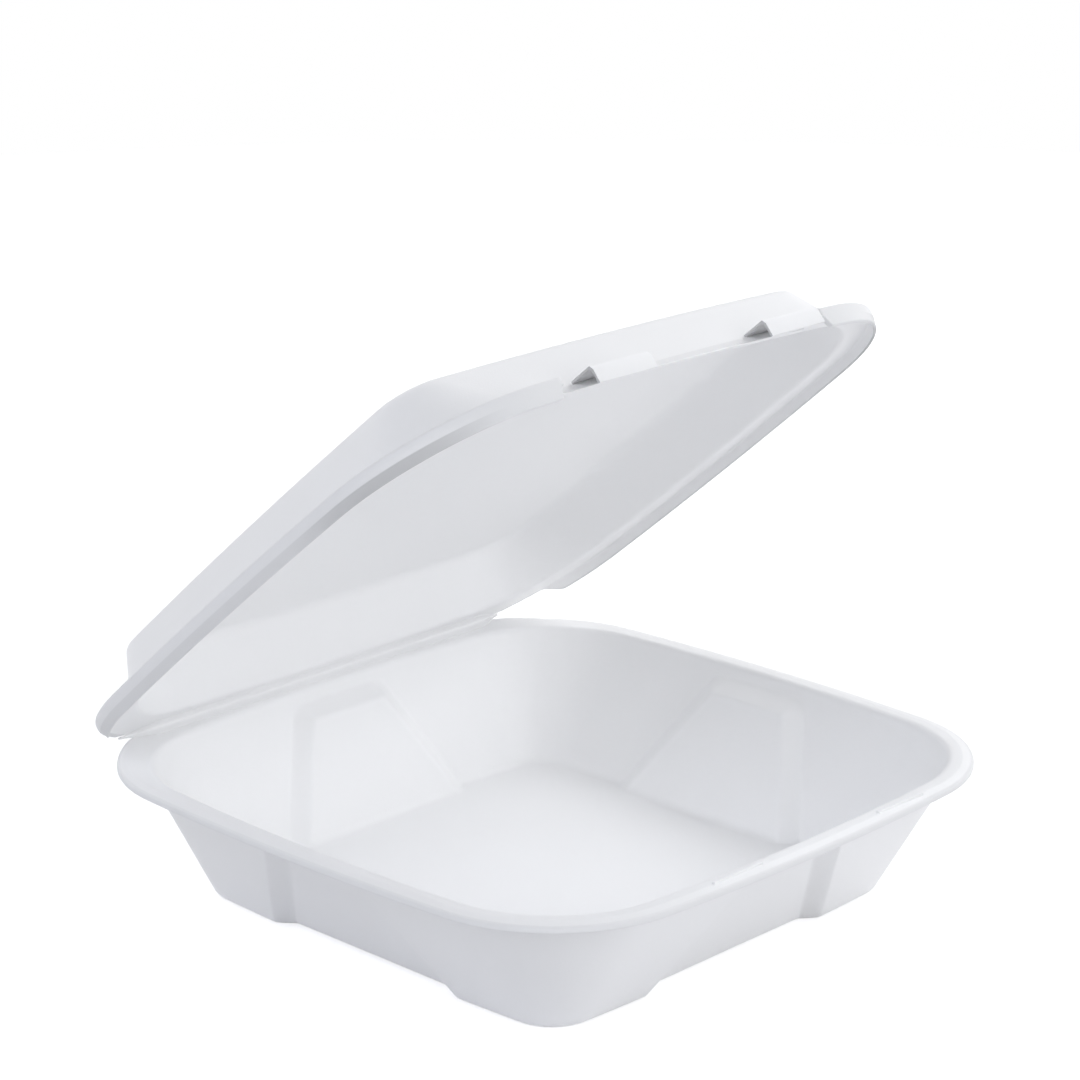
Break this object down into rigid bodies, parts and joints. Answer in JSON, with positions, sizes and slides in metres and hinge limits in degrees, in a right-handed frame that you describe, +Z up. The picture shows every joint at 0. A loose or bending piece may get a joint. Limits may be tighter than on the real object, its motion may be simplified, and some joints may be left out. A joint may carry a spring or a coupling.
{
  "type": "hinged foam food container",
  "caption": "Hinged clamshell food container of white foam: a square tray with pressed wall panels and a shallow domed lid that folds on a moulded crease and hooks over the rim.",
  "frame": {"origin": "centre of the tray's flat underside, where it rests", "axes": "+Z up, X along the crease, +Y towards the crease, -Y towards the latches"},
  "size_m": [0.242, 0.2328, 0.2006],
  "materials": {
    "foam": "matt white foamed plastic with a fine bead grain"
  },
  "bodies": {
    "base": {"base_tray": "foam"},
    "lid": {"lid": "foam"}
  },
  "joints": [
    {"name": "lid_hinge", "type": "hinge", "parent": "base", "child": "lid", "pos_m": [0, 0.113, 0.0483], "axis": [-1, 0, 0], "range_deg": [-40, 140]}
  ]
}
